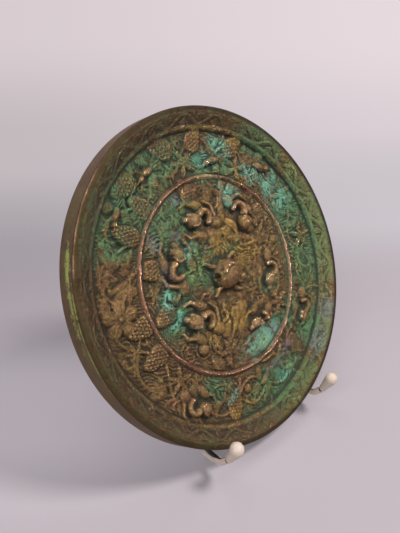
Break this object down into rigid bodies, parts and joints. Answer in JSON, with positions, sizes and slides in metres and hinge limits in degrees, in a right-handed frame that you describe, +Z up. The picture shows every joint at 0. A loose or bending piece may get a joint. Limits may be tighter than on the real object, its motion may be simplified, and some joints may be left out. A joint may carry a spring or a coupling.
{
  "type": "ancient bronze mirror on a wire easel",
  "caption": "Round cast bronze mirror with beasts, birds and grapevines in relief round a bored knob, leaning in a bent wire easel with soft prong tips.",
  "frame": {"origin": "middle of the footprint, on the table that the easel's rails rest on", "axes": "+Z up, the relief faces -Y and leans back towards +Y, +X to the right seen from the front"},
  "size_m": [0.2434, 0.1556, 0.2341],
  "materials": {
    "patinated_bronze": "cast bronze with olive brown patina, malachite and turquoise corrosion and copper high points, half gloss",
    "black_wire": "black painted steel wire, half gloss",
    "cream_sleeve": "aged cream vinyl tube, slit along its top",
    "cream_tip": "aged cream soft tip, half gloss"
  },
  "bodies": {
    "root": {"mirror": "patinated_bronze", "mirror_knob": "patinated_bronze", "stand_frame": "black_wire", "arm_sleeve_left": "cream_sleeve", "arm_sleeve_right": "cream_sleeve", "prong_tip_left": "cream_tip", "prong_tip_right": "cream_tip"}
  },
  "joints": []
}
